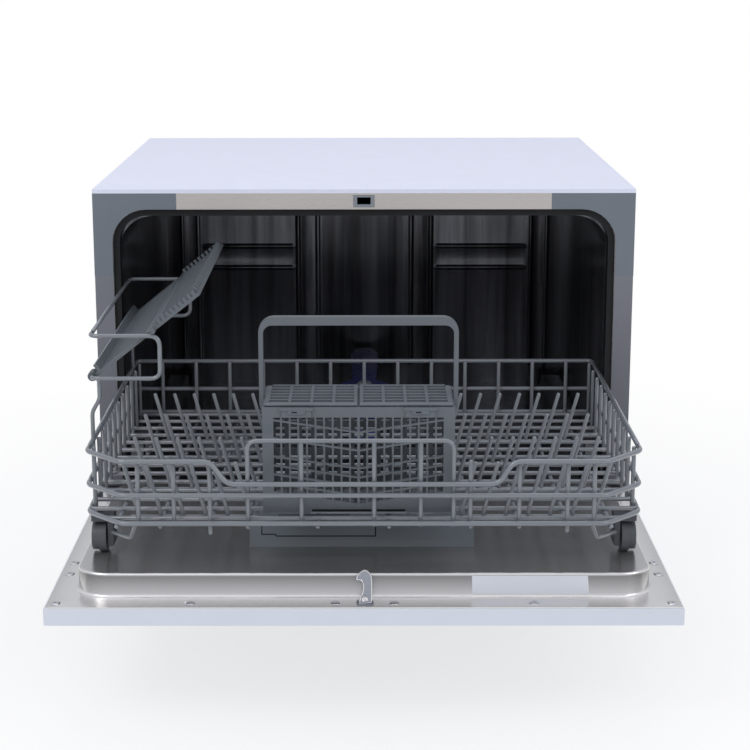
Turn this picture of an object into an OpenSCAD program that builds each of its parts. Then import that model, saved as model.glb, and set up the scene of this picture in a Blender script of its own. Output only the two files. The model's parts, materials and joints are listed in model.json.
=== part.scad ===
// Countertop dishwasher, door open and rack rolled out. Millimetres, Z up, front towards -Y.

/* [Cabinet] */
// Outer width of the cabinet and the door
body_w = 550; // [520:1:600]
// Height from the counter to the top
body_h = 438; // [420:1:470]
// Depth from the front frame to the back panel
body_d = 482; // [470:1:520]
// Height of the feet
foot_h = 10; // [6:1:20]
// Diameter of a foot
foot_d = 34; // [24:1:44]
// Thickness of the painted sheet
sheet = 1.2; // [0.8:0.1:2]
// Height of the skirt on the top panel
top_skirt = 18; // [12:1:30]

/* [Front frame] */
// Width of the side rails of the frame
rail_w = 19; // [14:1:24]
// Height of the rail over the opening
rail_top = 20.5; // [16:0.5:26]
// Corner radius of the opening
opening_r = 35; // [20:1:45]
// Height of the opening's lower edge
sill_z = 112; // [100:1:118]
// Length of the legs of a corner cover
cover_l = 85; // [60:1:120]
// Thickness of the covers and the strip
cover_t = 1.5; // [1:0.1:3]
// Thickness of the frame
frame_t = 3; // [2:0.5:5]
// Width of the latch bezel
bezel_w = 21.6; // [16:0.2:30]
// Width of the gasket that shows in the opening
gasket_w = 7; // [4:0.5:10]
// Gap between the closed door and the top
top_gap = 4; // [3:0.5:8]

/* [Tub] */
// Distance from the cabinet's side to the inside of the tub
tub_gap = 24; // [22:0.5:30]
// Height of the rails that the wheels run on
run_z = 142; // [138:1:146]
// Distance from the tub's rear wall to the back of the cabinet
rear_gap = 50.5; // [46:0.5:60]
// Wall thickness of the tub
tub_t = 1.2; // [0.8:0.1:2]
// Width of each rail
run_w = 26; // [22:1:32]
// Depth of the tub floor below the rails
floor_drop = 13; // [8:1:18]
// Diameter of the sump
sump_d = 150; // [120:2:170]
// Width of a pressed groove in the rear wall
groove_w = 5; // [3:0.5:8]
// Depth of a pressed groove
groove_d = 2; // [1:0.5:3]

/* [Door] */
// Distance from the frame to the hinge axis
hinge_y = 16; // [12:1:20]
// Depth of the hinge axis below the flange
hinge_drop = 14; // [10:1:20]
// Distance from the side to a hinge arm
hinge_side = 13; // [10:1:18]
// Height of the door's flange when it lies open
flange_z = 124; // [120:1:128]
// Thickness of the door at its free edge
edge_t = 16; // [12:1:20]
// Thickness of the door in its middle
door_t = 30; // [24:1:32]
// Wall thickness of the plastic door parts
skin = 2.5; // [2:0.1:4]
// Depth of the control panel
control_d = 85; // [70:1:100]
// Distance from the door's side to the raised panel
pan_side = 26; // [22:1:36]
// Distance from the free edge to the raised panel
pan_gap = 22; // [16:1:30]
// Distance from the frame to the raised panel
pan_back = 39; // [34:1:50]
// Corner radius of the raised panel
pan_r = 29; // [20:1:40]

/* [Dispenser] */
// Width of the detergent dispenser
disp_w = 205; // [180:1:230]
// Depth of the dispenser
disp_d = 82; // [70:1:95]
// Height of the dispenser over the raised panel
disp_h = 23; // [16:1:26]
// Distance from the frame to its front
disp_y = 236; // [220:1:250]
// Width of the detergent lid
lid_w = 106; // [90:1:115]

/* [Rack] */
// Gap between the rack and the tub wall
rack_play = 5; // [4:0.5:8]
// Distance from the frame to the front wire
rack_front = 305; // [295:1:310]
// Reach of the rack behind the frame
rack_back = 65; // [50:1:75]
// Chamfer of the front corners
rack_c = 33; // [20:1:45]
// Height of the lowest wire
ring_low = 188; // [185:1:194]
// Height of the middle wire
ring_mid = 213.5; // [205:0.5:225]
// Height of the top wire
ring_top = 244; // [235:0.5:252]
// Height of the guard wire in front of the basket
guard_z = 261.5; // [258:0.5:270]
// Diameter of the frame wires
wire_d = 4.6; // [4:0.1:6]
// Diameter of the rods between them
rod_d = 3.8; // [3:0.1:5]
// Number of rods in each side wall
side_rods = 11; // [7:1:14]
// Gap left behind the rack when it is pushed in
rack_stop = 8.5; // [6:0.5:12]
// Pitch of the plate tines
tine_pitch = 19.6; // [17:0.2:24]
// Height of the tines over the floor wires
tine_h = 50; // [40:1:60]
// Lean of a tine at its tip
tine_lean = 12.6; // [0:0.2:16]
// Distance from the rack's middle to the first right tine
tine_right = 85; // [84:1:100]
// Distance from the rack's middle to the first left tine
tine_left = 99.5; // [94:0.5:110]

/* [Wheels] */
// Diameter of a wheel over its flange
wheel_d = 29; // [26:0.5:31]
// Width of a wheel
wheel_w = 13; // [10:0.5:14]
// Diameter of the axle
axle_d = 7; // [5:0.5:9]
// Distance from the frame to the front axles
axle_front = 244; // [235:1:250]
// Distance from the frame back to the rear axles
axle_back = 24; // [20:1:40]

/* [Basket] */
// Width of the cutlery basket
basket_w = 168; // [150:1:176]
// Depth of the basket
basket_d = 73; // [60:1:76]
// Height of the basket without its lids
basket_h = 96; // [80:1:100]
// Offset of the basket from the middle
basket_x = -4.5; // [-10:0.5:5]
// Wall of the basket
basket_t = 2.4; // [2:0.1:3]
// Pitch of the upright bars
bar_pitch = 7.5; // [7:0.1:14]
// Pitch of the lower cross bars
row_pitch = 8.2; // [7:0.1:12]
// Rise of the cross bars towards the sides
vee_h = 11.7; // [0:0.1:14]
// Width of a lattice bar
bar_w = 1.6; // [1.4:0.1:2.6]
// Border of the lattice
border = 6.5; // [5:0.5:14]
// Height of the handle over the basket
handle_h = 70; // [62:1:72]
// Thickness of the basket lids
lid_t = 3; // [2.4:0.2:4]

/* [Cup shelf] */
// Slope of the cup shelf in degrees
shelf_tilt = 38.5; // [30:0.5:42]
// Width of the shelf along its slope
shelf_w = 124; // [100:1:128]
// Length of the shelf
shelf_l = 262; // [200:2:280]
// Thickness of the shelf
shelf_t = 3; // [2:0.5:4]
// Height of the rod that the shelf turns on
shelf_z = 300.5; // [296:0.5:308]
// Height of the bracket's loop
loop_h = 39; // [30:1:44]
// Width of the bracket's loop
loop_w = 62; // [50:1:70]

/* [Wash parts] */
// Length of the spray arm
arm_l = 396; // [340:2:400]
// Thickness of the spray arm
arm_t = 10; // [8:0.5:12]
// Height of the arm's top
arm_z = 178; // [170:1:180]
// Distance from the frame to the arm's axis
arm_y = 218; // [210:1:222]
// Diameter of the inlet thread (G 3/4)
inlet_d = 26.2; // [26:0.1:27]
// Diameter of the drain spigot
drain_d = 19; // [16:0.5:22]
// Height of the ports on the back
port_z = 60; // [50:1:80]
// Distance from the side to the inlet
inlet_side = 125; // [100:1:160]
// Distance from the side to the drain and to the cord
port_side = 85; // [60:1:95]
// Distance from the tub wall to the salt cap
salt_side = 101; // [80:1:120]
// Distance from the arm's axis to the salt cap
salt_y = 102; // [90:1:120]
// Diameter of the salt cap
salt_d = 60; // [50:1:70]

/* [Hidden] */
$fn = 32;
eps = 0.01;
fit = 0.3;                                   // a piece that rests on another one
run = 0.06;                                  // radial clearance of a pin that turns
port_l = 16;                                 // reach of the water ports
frame_top = body_h - top_gap;
hinge_z = flange_z - hinge_drop;
door_reach = hinge_y + frame_top - hinge_z;  // the closed door ends level with the frame
y0 = (door_reach - body_d - port_l) / 2;     // puts the middle of the part at the origin
hw = body_w / 2;
hinge_x = hw - hinge_side;
open_hw = hw - rail_w;
open_top = body_h - rail_top;
frame_low = flange_z - door_t - 2;
base_z = foot_h + 2;
frame_y = cover_t + frame_t;
gasket_d = 13;
tub_y = frame_y + gasket_d;
tub_back = body_d - rear_gap;
tub_w = body_w - 2 * tub_gap;
pan_w = body_w - 2 * pan_side;
rack_w = tub_w - 2 * rack_play;
rack_travel = tub_back - rack_back - rack_stop;
tub_top = open_top - gasket_w - 2;
tub_floor = run_z - floor_drop;
tub_hw = tub_w / 2;
pan_top = run_z;
pan_front = door_reach - pan_gap;
door_gap = 3;
control_y = door_reach - control_d;
rack_hw = rack_w / 2;
rack_corner = rack_front - rack_c;
axle_z = run_z + fit + wheel_d / 2;
wheel_x = rack_hw - 1 - wheel_w;
basket_z = ring_low + wire_d / 2 + fit;
basket_top = basket_z + basket_h;
basket_front = rack_front - 22;
lattice_top = basket_h - 9.4;
basket_back = basket_front - basket_d;
lid_half = (basket_w - 8) / 2;
handle_z = basket_top - 12;
arm_base = arm_z - arm_t;
button_z = flange_z - door_t;
plate_top = tub_floor + 1.6;
button_d = 12;
button_y = control_d / 2 + 12 - door_reach;
hook_y = door_reach - 7;
disp_x = -2;
disp_z = pan_top + disp_h;
cup_x = disp_x + 5.5 - disp_w / 2;
cap_x = disp_x + 55;
cap_y = disp_d / 2 - disp_y;
ring_x = rack_hw - wire_d / 2;
ring_dip = ring_top - 20.5;
front_in = 4 - rack_front;
cross_z = ring_low + (wire_d - rod_d) / 2;
long_x = [-215, -177, -133.6, -101, -40, 22, 92.6, 135, 177, 215];
tine_y = [for (k = [0, 3, 6, 9]) cross_y(k) + rod_d - 0.4];
loop_top = shelf_z + loop_h;
loop_x = loop_w - ring_x;
loop_front = -236;
shelf_a = loop_front + 4;
shelf_b = shelf_a + shelf_l;
loop_back = shelf_b + 4;
shelf_low = -2.4;                            // underside of the shelf from its pivot
peg_u = (loop_h + rod_d / 2 + fit + shelf_t / 2 + 1 - (shelf_low + shelf_t / 2) * cos(shelf_tilt))
  / sin(shelf_tilt);
inlet_x = inlet_side - hw;
drain_x = port_side - hw;
cord_x = hw - port_side;
salt_x = salt_side - tub_hw;
groove_z = [tub_top - 130, tub_top - 102.5];
handle_x = basket_w / 2 + fit;
handle_top = basket_top + handle_h + 3;
function cross_y(i) = -rack_front + 14 + i * (rack_front + rack_back - 28) / 13;
function side_y(i) = -rack_corner + 12 + i * (rack_corner + rack_back - 24) / (side_rods - 1);

module at() translate([0, y0, 0]) children();
module box(x, y, z)
  translate([x[0], y[0], z[0]]) cube([x[1] - x[0], y[1] - y[0], z[1] - z[0]]);
// A flat shape in X and Z, made thick along Y
module along_y(y) translate([0, y[1], 0]) rotate([90, 0, 0])
  linear_extrude(y[1] - y[0]) children();
// A flat shape in Y and Z, made thick along X
module along_x(x) translate([x[0], 0, 0]) rotate([90, 0, 90])
  linear_extrude(x[1] - x[0]) children();
module along_z(z) translate([0, 0, z[0]]) linear_extrude(z[1] - z[0]) children();
module area(x, y) translate([x[0], y[0]]) square([x[1] - x[0], y[1] - y[0]]);
module soft_area(x, y, r) {
  area([x[0] + r, x[1] - r], y);
  area(x, [y[0] + r, y[1] - r]);
  for (a = [x[0] + r, x[1] - r], b = [y[0] + r, y[1] - r]) translate([a, b]) circle(r);
}
module wire(a, b, d = wire_d, f = 8) {
  v = b - a;
  l = norm(v);
  translate(a) rotate([0, acos(v[2] / l), atan2(v[1], v[0])])
    rotate([0, 0, 9]) cylinder(d = d, h = l, $fn = f);
}
module wires(p, d = wire_d)
  for (i = [0 : len(p) - 2]) {
    u = (p[i + 1] - p[i]) / norm(p[i + 1] - p[i]) * d * 0.3;
    wire(p[i] - (i > 0 ? u : 0 * u), p[i + 1] + (i < len(p) - 2 ? u : 0 * u), d);
  }
module opening(grow = 0)
  soft_area([-open_hw - grow, open_hw + grow], [sill_z - grow, open_top + grow],
            opening_r + grow);
module pin_x(x, y, z, d, f = 24)
  translate([x[0], y, z]) rotate([0, 90, 0]) cylinder(d = d, h = x[1] - x[0], $fn = f);
module pin_y(x, y, z, d, f = 24)
  translate([x, y[1], z]) rotate([90, 0, 0]) cylinder(d = d, h = y[1] - y[0], $fn = f);

// Cabinet
module top_panel() color("#dcdfea") at() difference() {
  union() {
    box([-hw, hw], [0, body_d], [body_h - sheet, body_h]);
    box([-hw, hw], [0, sheet], [frame_top, body_h]);
    for (s = [-1, 1]) box([s < 0 ? -hw : hw - sheet, s < 0 ? sheet - hw : hw],
      [frame_y + 8, body_d], [body_h - top_skirt, body_h]);
    box([-hw, hw], [body_d - sheet, body_d], [body_h - top_skirt, body_h]);
  }
  for (s = [-1, 1]) translate([s * hw, body_d, 0]) rotate([0, 0, 45])
    cube([3, 3, 3 * body_h], center = true);
}
module side_panel(s) {
  x = s < 0 ? [-hw, sheet - hw] : [hw - sheet, hw];
  f = s < 0 ? [-hw, 12 - hw] : [hw - 12, hw];
  box(x, [frame_y + 8, body_d - sheet], [base_z, body_h - top_skirt]);
  box(f, [frame_y + 8, body_d - sheet], [base_z, base_z + sheet]);
}
module side_panel_left() color("#dcdfea") at() side_panel(-1);
module side_panel_right() color("#dcdfea") at() side_panel(1);
module back_panel() color("#b9bdc4") at() difference() {
  box([-hw, hw], [body_d - sheet, body_d], [base_z, body_h - top_skirt]);
  pin_y(inlet_x, [body_d - 9, body_d + 9], port_z, inlet_d + 2);
  pin_y(drain_x, [body_d - 9, body_d + 9], port_z, drain_d + 2);
  pin_y(cord_x, [body_d - 9, body_d + 9], port_z, 16);
  for (i = [0 : 7], s = [-1, 1])
    box([s * 90 - 45, s * 90 + 45], [body_d - 9, body_d + 9],
        [110 + i * 12, 115 + i * 12]);
}
module base_pan() color("#8e9298") at() difference() {
  union() {
    box([1 - hw, hw - 1], [frame_y + 8, body_d], [foot_h, base_z]);
    for (s = [-1, 1]) box([s < 0 ? -hw + 14 : hw - 15.5, s < 0 ? -hw + 15.5 : hw - 14],
      [frame_y + 8, body_d - sheet], [foot_h, base_z + 14]);
  }
  for (x = [-1, 1], y = [50, body_d - 40]) translate([x * 210, y, 0])
    cylinder(d = 8, h = 60, center = true);
}
module foot(x, y) translate([x, y, 0]) {
  cylinder(d1 = foot_d - 3, d2 = foot_d, h = 3);
  translate([0, 0, 3]) cylinder(d = foot_d, h = foot_h - 6);
  translate([0, 0, foot_h - 3]) cylinder(d = foot_d - 8, h = 3);
  cylinder(d = 7.6, h = foot_h + 12);
}
module foot_front_left() color("#2b2d30") at() foot(-210, 50);
module foot_front_right() color("#2b2d30") at() foot(210, 50);
module foot_rear_left() color("#2b2d30") at() foot(-210, body_d - 40);
module foot_rear_right() color("#2b2d30") at() foot(210, body_d - 40);
module kick_plate() color("#c9ccd6") at() {
  box([1.7 - hw, hw - 1.7], [frame_y, frame_y + sheet], [base_z - eps, frame_low + 1.5]);
  box([1.7 - hw, hw - 1.7], [frame_y, frame_y + 8], [foot_h, base_z]);
}

// Front frame
module front_frame() color("#8f8c97") at() {
  along_y([cover_t, frame_y]) difference() {
    area([-hw, hw], [frame_low, frame_top]);
    opening();
    area([-8.4, 8.4], [open_top + 4.9, open_top + 12.3]);
    for (s = [-1, 1]) area([s * hinge_x - 5, s * hinge_x + 5], [hinge_z - 16, hinge_z - 2]);
  }
  for (s = [-1, 1]) box([s < 0 ? -hw : hw - 1.5, s < 0 ? 1.5 - hw : hw],
    [frame_y - eps, frame_y + 8], [frame_low, frame_top]);
}
module corner_cover(s) along_y([0, cover_t]) difference() {
  area(s < 0 ? [-hw, cover_l - hw] : [hw - cover_l, hw], [frame_top - cover_l, frame_top]);
  opening();
}
module corner_cover_left() color("#69717a") at() corner_cover(-1);
module corner_cover_right() color("#69717a") at() corner_cover(1);
module latch_strip() color("#b4aca6") at() along_y([0.3, cover_t]) difference() {
  area([-hw + cover_l, hw - cover_l], [open_top, frame_top]);
  area([-bezel_w / 2, bezel_w / 2], [open_top + 2.1, open_top + 14.5]);
}
module latch_bezel() color("#8a8f96") at() along_y([0, cover_t]) difference() {
  area([-bezel_w / 2 + fit, bezel_w / 2 - fit], [open_top + 2.4, open_top + 14.2]);
  area([-6.9, 6.9], [open_top + 4.9, open_top + 12.3]);
}
module door_gasket() color("#17181a") at() along_y([frame_y, tub_y]) intersection() {
  difference() {
    opening(4.5);
    opening(-gasket_w);
  }
  area([-hw, hw], [sill_z + opening_r, body_h]);
}

// Tub
module tub_arch(grow) union() {
  soft_area([-tub_hw - grow, tub_hw + grow], [tub_floor - 40, tub_top + grow], opening_r);
}
module tub_wrap() color("#8c8c94") at() {
  along_y([tub_y, tub_back]) difference() {
    tub_arch(tub_t);
    tub_arch(0);
    area([-hw, hw], [0, tub_floor]);
  }
  along_y([tub_y, tub_y + tub_t]) difference() {
    opening(4.5);
    tub_arch(tub_t - eps);
    area([-hw, hw], [0, tub_floor]);
  }
}
module tub_floor_pan() color("#85858d") at() difference() {
  union() {
    difference() {
      box([-tub_hw - tub_t, tub_hw + tub_t], [tub_y, tub_back], [tub_floor - tub_t, tub_floor]);
      translate([0, arm_y, 0]) cylinder(d = sump_d, h = 3 * body_h, center = true);
    }
    for (s = [-1, 1]) difference() {
      along_y([tub_y, tub_back - 20])
        soft_area(s < 0 ? [-tub_hw, run_w - tub_hw] : [tub_hw - run_w, tub_hw],
                  [tub_floor - 5, run_z], 3);
      along_y([tub_y - 1, tub_back - 20 - tub_t])
        soft_area(s < 0 ? [tub_t - tub_hw, run_w - tub_t - tub_hw]
                        : [tub_hw - run_w + tub_t, tub_hw - tub_t],
                  [tub_floor - 9, run_z - tub_t], 2);
      box([-hw, hw], [0, body_d], [0, tub_floor - eps]);
    }
    box([-tub_hw - tub_t, tub_hw + tub_t], [tub_y, tub_y + tub_t], [sill_z - 4, tub_floor]);
    box([-tub_hw - tub_t, tub_hw + tub_t], [frame_y, tub_y + tub_t],
        [sill_z - 4, sill_z - 4 + tub_t]);
  }
  translate([salt_x, arm_y - salt_y, 0])
    cylinder(d = salt_d - 16, h = 3 * body_h, center = true);
}
module wall_groove(x, z, d) along_y([tub_back - d, tub_back + eps]) area(x, z);
module tub_rear_wall() color("#85858d") at() {
  along_y([tub_back, tub_back + tub_t]) intersection() {
    tub_arch(tub_t);
    area([-hw, hw], [tub_floor - tub_t, body_h]);
  }
  for (s = [-1, 1], x = [20, 40, 167, 192])
    wall_groove(s * (tub_hw - x) + [-groove_w / 2, groove_w / 2],
                [tub_floor + 24, tub_top - 14], groove_d);
  for (s = [-1, 1], z = groove_z)
    wall_groove(s < 0 ? [48 - tub_hw, 160 - tub_hw] : [tub_hw - 160, tub_hw - 48],
                [z, z + groove_w], groove_d);
}

// Water parts under the tub
module sump_bowl() color("#3a3d42") at() translate([0, arm_y, 0]) difference() {
  union() {
    translate([0, 0, tub_floor - tub_t - 4]) cylinder(d = sump_d + 14, h = 4);
    translate([0, 0, 62]) cylinder(d1 = sump_d - 10, d2 = sump_d - 1, h = tub_floor - 62);
  }
  translate([0, 0, 65]) cylinder(d1 = sump_d - 15, d2 = sump_d - 6, h = tub_floor - 65 + eps);
}
module filter_cup() color("#55585e") at() translate([0, arm_y - 42, plate_top]) {
  difference() {
    translate([0, 0, -44]) cylinder(d = 50, h = 44.5);
    translate([0, 0, -41]) cylinder(d = 46, h = 60);
    for (a = [0 : 30 : 330], z = [-36 : 8 : -12]) rotate([0, 0, a])
      box([15, 40], [-3, 3], [z, z + 5]);
  }
  difference() {
    translate([0, 0, fit]) cylinder(d = 57, h = 2);
    cylinder(d = 40, h = 9);
  }
  box([-3, 3], [-24, 24], [-6, 8]);
}
module spray_hub() color("#6d7178") at() translate([0, arm_y, 0]) {
  difference() {
    translate([0, 0, tub_floor]) cylinder(d = sump_d - 1, h = plate_top - tub_floor);
    translate([0, -42, 0]) cylinder(d = 51, h = 3 * body_h, center = true);
    for (a = [-40 : 20 : 220], r = [34, 48, 62]) rotate([0, 0, a]) translate([r, 0, tub_floor])
      cylinder(d = 7, h = 9, center = true, $fn = 12);
  }
  translate([0, 0, tub_floor - 34]) cylinder(d = 24, h = 34 + eps);
  translate([0, 0, plate_top - eps]) cylinder(d1 = 24, d2 = 17, h = arm_base - plate_top - fit);
  translate([0, 0, arm_base - fit - 2 * eps]) cylinder(d = 12, h = arm_t + 2);
  translate([0, 0, arm_z + fit]) cylinder(d1 = 20, d2 = 14, h = 4);
}
module spray_arm() color("#1c2a52") at() translate([0, arm_y, 0]) difference() {
  union() {
    translate([0, 0, arm_base]) cylinder(d = 56, h = arm_t);
    along_z([arm_base + 1, arm_z - 1]) polygon([
      [-13, 0], [-17, arm_l / 2 - 34], [-11, arm_l / 2 - 5], [0, arm_l / 2], [11, arm_l / 2 - 5], [17, arm_l / 2 - 34], [13, 0],
      [17, 34 - arm_l / 2], [11, 5 - arm_l / 2], [0, -arm_l / 2],
      [-11, 5 - arm_l / 2], [-17, 34 - arm_l / 2]]);
  }
  cylinder(d = 12 + 2 * run, h = 3 * body_h, center = true);
  for (s = [-1, 1], i = [0 : 4]) translate([s * (i % 2 == 0 ? 6 : -5), s * (50 + i * 32), arm_z])
    cylinder(d = 4, h = 6, center = true, $fn = 12);
}
module softener_tank() color("#c6c8cb") at() translate([salt_x, arm_y - salt_y, 0]) difference() {
  union() {
    along_z([foot_h + 18, tub_floor - tub_t]) soft_area([-76, 54], [-36, 66], 14);
    along_z([foot_h + 10, foot_h + 18 + eps]) soft_area([-66, 44], [-26, 56], 10);
  }
  translate([0, 0, tub_floor - 24]) cylinder(d = salt_d - 20, h = 40);
}
module salt_cap() color("#9aa0a6") at() translate([salt_x, arm_y - salt_y, 0]) {
  along_z([tub_floor + fit, tub_floor + 9]) difference() {
    circle(d = salt_d);
    for (a = [0 : 30 : 330]) rotate(a) translate([salt_d / 2, 0]) circle(d = 5, $fn = 12);
  }
  translate([0, 0, tub_floor - 20]) cylinder(d = salt_d - 22, h = 21);
  box([-24, 24], [-3, 3], [tub_floor + 8, tub_floor + 14]);
}
module wash_pump() color("#474b52") at() {
  pin_x([84, 172], arm_y, 62, 76, 32);
  pin_x([172, 214], arm_y, 62, 62, 32);
  box([110, 160], [arm_y - 24, arm_y + 24], [base_z, 40]);
}
module drain_pump() color("#32353a") at() {
  pin_y(10, [arm_y + 78, arm_y + 150], 58, 54, 32);
  box([-12, 32], [arm_y + 95, arm_y + 135], [base_z, 40]);
}
module inlet_valve() color("#e1e2e4") at() difference() {
  union() {
    box([inlet_x - 24, inlet_x + 24], [body_d - 48, body_d - sheet - 0.5],
        [port_z - 20, port_z + 20]);
    pin_y(inlet_x, [body_d - 20, body_d + port_l], port_z, inlet_d, 32);
    box([inlet_x - 8, inlet_x + 8], [body_d - 48, body_d - 30], [base_z, port_z - 16]);
  }
  pin_y(inlet_x, [body_d - 18, body_d + port_l + 1], port_z, 16, 24);
}
module drain_spigot() color("#3b3e44") at() difference() {
  union() {
    pin_y(drain_x, [body_d, body_d + 2], port_z, drain_d + 6, 32);
    pin_y(drain_x, [body_d - 24, body_d + port_l - 2], port_z, drain_d, 32);
  }
  pin_y(drain_x, [body_d - 25, body_d + port_l], port_z, drain_d - 5, 24);
}
module cord_gland() color("#222326") at() difference() {
  union() {
    pin_y(cord_x, [body_d - 8, body_d], port_z, 15.4, 24);
    pin_y(cord_x, [body_d, body_d + 6], port_z, 22, 24);
  }
  pin_y(cord_x, [body_d - 9, body_d + 7], port_z, 8, 16);
}

// Door
module door_side(lift = 0) polygon([
  [-door_reach + lift, flange_z - sheet + 60 * min(lift, 1)],
  [-door_reach + lift, flange_z - edge_t + lift * 0.6],
  [-door_reach + 34 + lift * 0.4, flange_z - door_t + lift],
  [-door_gap - 8 - lift * 0.6, flange_z - door_t + lift],
  [-door_gap - lift, flange_z - door_t + 8 + lift * 0.6],
  [-door_gap - lift, flange_z - sheet + 60 * min(lift, 1)]]);
module door_tray(y) difference() {
  along_x([-hw, hw]) intersection() {
    door_side();
    area(y, [0, body_h]);
  }
  along_x([skin - hw, hw - skin]) door_side(skin);
}
module door_shell() color("#ccd3db") at() difference() {
  door_tray([-control_y + 0.4, -door_gap]);
  for (s = [-1, 1]) box([s * hinge_x - 5, s * hinge_x + 5], [-door_gap - 9, 0],
    [hinge_z - 18, hinge_z + 6]);
}
module control_panel() color("#ccd3db") at() difference() {
  door_tray([-door_reach, -control_y]);
  for (x = [-120, -60, 130]) translate([x, button_y, 0]) cylinder(d = button_d + 1, h = 240);
  box([-26, 66], [button_y - 13, button_y + 13], [0, button_z + skin + 1]);
}
module display_window() color("#14161a") at() {
  box([-25.7, 65.7], [button_y - 12.7, button_y + 12.7], [button_z, button_z + skin]);
  box([-32, 72], [button_y - 18, button_y + 18], [button_z + skin, button_z + skin + 2]);
}
module button(x) translate([x, button_y, 0]) {
  translate([0, 0, button_z - 2]) cylinder(d = button_d, h = skin + 4);
  translate([0, 0, button_z + skin + fit]) cylinder(d = button_d + 5, h = 2);
}
module button_power() color("#e6e8ec") at() button(-120);
module button_program() color("#e6e8ec") at() button(-60);
module button_start() color("#e6e8ec") at() button(130);
module door_inner_panel() color("#b9b4b0") at() {
  along_z([flange_z - sheet, flange_z]) difference() {
    area([1.2 - hw, hw - 1.2], [-door_reach + 1.2, -door_gap]);
    soft_area([-pan_w / 2 + 1, pan_w / 2 - 1], [1 - pan_front, -pan_back - 1], pan_r - 1);
  }
  difference() {
    along_z([flange_z - sheet, pan_top])
      soft_area([-pan_w / 2, pan_w / 2], [-pan_front, -pan_back], pan_r);
    along_z([0, pan_top - sheet])
      soft_area([sheet - pan_w / 2, pan_w / 2 - sheet], [sheet - pan_front, -pan_back - sheet],
                pan_r - sheet);
  }
}
module latch_hook() color("#9a9da3") at() {
  along_y([-hook_y, 2.4 - hook_y]) difference() {
    union() {
      polygon([[-8, 0], [9, 0], [8, 6], [7, 12], [8, 22], [7, 28], [2, 31], [-4, 29],
        [-7, 24], [-6, 22], [-1, 23], [2, 20], [1, 12], [-5, 6]] + [for (i = [0 : 13]) [0, flange_z]]);
    }
    translate([1, flange_z + 6]) circle(d = 4, $fn = 16);
  }
  box([-8, 9], [-hook_y, 9 - hook_y], [flange_z, flange_z + 1.6]);
}
module hinge_arms() color("#7c7f85") at() for (s = [-1, 1])
  along_x([s * hinge_x - 2, s * hinge_x + 2]) polygon([
    [-120, flange_z - sheet], [-120, flange_z - 8], [-hinge_y - 8, flange_z - 12],
    [-hinge_y, hinge_z - 12], [frame_y + 21, hinge_z - 14], [frame_y + 21, hinge_z - 6],
    [-2, hinge_z - 5], [4 - hinge_y, flange_z - sheet]]);

// Dispenser
module dispenser_body() color("#5a6167") at() difference() {
  along_x([disp_x - disp_w / 2, disp_x + disp_w / 2]) polygon([
    [-disp_y, pan_top], [2 - disp_y, pan_top + 6], [11 - disp_y, disp_z],
    [disp_d - 3 - disp_y, disp_z], [disp_d - disp_y, disp_z - 3], [disp_d - disp_y, pan_top]]);
  box([cup_x, cup_x + lid_w], [14 - disp_y, 2 * disp_d - disp_y], [disp_z - 2.6, disp_z + 9]);
  box([cup_x + 8, cup_x + lid_w - 8], [20 - disp_y, disp_d - 12 - disp_y],
      [pan_top + 3, disp_z]);
  translate([cap_x, cap_y, disp_z - 2.6]) cylinder(d = 37, h = 30);
  translate([cap_x, cap_y, disp_z - 9]) cylinder(d = 18 + 2 * run, h = 30);
}
module detergent_lid() color("#565d63") at() {
  difference() {
    box([cup_x + 0.5, cup_x + lid_w - 0.5], [14.5 - disp_y, disp_d - 5 - disp_y],
        [disp_z - 2.3, disp_z]);
    box([cup_x + 20, cup_x + lid_w - 20], [20 - disp_y, 24 - disp_y], [disp_z - 1, disp_z + 1]);
  }
}
module rinse_cap() color("#7a8188") at() translate([cap_x, cap_y, 0]) {
  translate([0, 0, disp_z - 2.3]) cylinder(d = 36, h = 2.3);
  translate([0, 0, disp_z - 8.7]) cylinder(d = 18, h = 7);
  box([-14, 14], [-2.2, 2.2], [disp_z - eps, disp_z + 4]);
}

// Rack, all of coated wire
module ring_path(z) wires([[-ring_x, -rack_corner, z], [rack_c - ring_x, -rack_front, z],
  [ring_x - rack_c, -rack_front, z], [ring_x, -rack_corner, z]]);
module rack_floor() color("#6f757d") at() {
  for (i = [0 : 13])
    wire([-ring_x, cross_y(i), cross_z], [ring_x, cross_y(i), cross_z], rod_d);
  for (x = long_x) {
    wire([x, -rack_front, cross_z - rod_d + 0.6], [x, rack_back, cross_z - rod_d + 0.6], rod_d);
  }
}
module rack_front_wall() color("#6f757d") at() {
  ring_path(ring_low);
  ring_path(ring_mid);
  wires([[-ring_x, -rack_corner, ring_top], [rack_c - ring_x, -rack_front, ring_top],
    [-133, -rack_front, ring_top], [-118, -rack_front, ring_dip],
    [117, -rack_front, ring_dip], [129, -rack_front, ring_top],
    [ring_x - rack_c, -rack_front, ring_top], [ring_x, -rack_corner, ring_top]]);
  wires([[-100.6, front_in, ring_low - 3], [-100.6, front_in, guard_z - 6],
    [-94.6, front_in, guard_z], [72, front_in, guard_z], [78, front_in, guard_z - 6],
    [78, front_in, ring_low - 3]], rod_d);
  for (x = [-54, 9, 49.5])
    wire([x, front_in + 0.4, ring_low - 3], [x, front_in + 0.4, guard_z + 1], rod_d - 0.2);
  for (x = [-196, -165, -133.6, 92.6, 135, 177, 200])
    wire([x, front_in, ring_low - 4], [x, front_in, ring_top], rod_d);
}
module rack_rear_wall() color("#6f757d") at() {
  for (z = [ring_low, ring_mid, ring_top])
    wire([-ring_x, rack_back, z], [ring_x, rack_back, z]);
  for (i = [0 : 12])
    wire([-ring_x + 28 + i * (2 * ring_x - 56) / 12, rack_back - 4, ring_low - 4],
         [-ring_x + 28 + i * (2 * ring_x - 56) / 12, rack_back - 4, ring_top], rod_d);
}
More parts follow.
